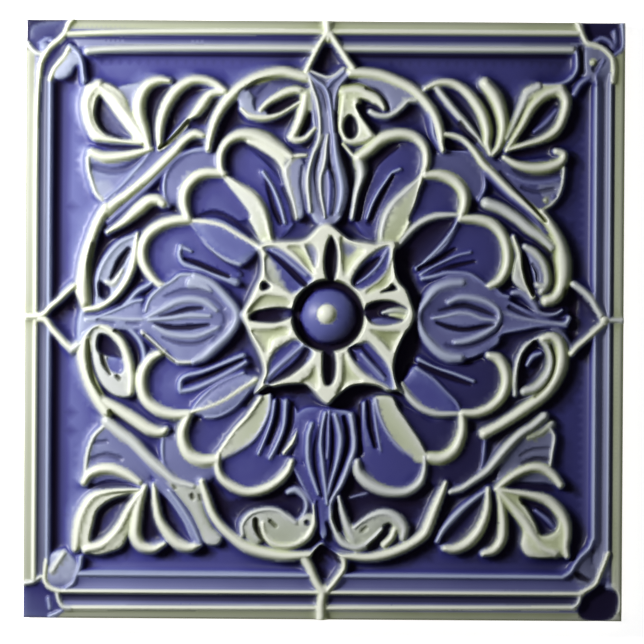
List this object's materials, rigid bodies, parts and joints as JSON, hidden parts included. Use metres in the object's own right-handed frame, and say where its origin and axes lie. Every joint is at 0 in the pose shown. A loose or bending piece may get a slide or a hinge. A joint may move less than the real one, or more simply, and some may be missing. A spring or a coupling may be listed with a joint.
{
  "type": "ceramic relief tile",
  "caption": "Square wall tile of moulded, glazed ceramic with a framed rosette in relief, bedded on its grooved back and butted or grouted along its edges.",
  "frame": {"origin": "centre of the underside, the face that is bedded on the wall", "axes": "+Z out of the decorated face, +Y towards the top of the pattern, +X to its right"},
  "size_m": [0.152, 0.152, 0.013],
  "materials": {
    "glazed_clay": "thick glossy glaze, violet-blue ground and pale green-cream relief, pooled dark in the hollows; bare fired clay underneath"
  },
  "bodies": {
    "root": {"tile": "glazed_clay"}
  },
  "joints": []
}
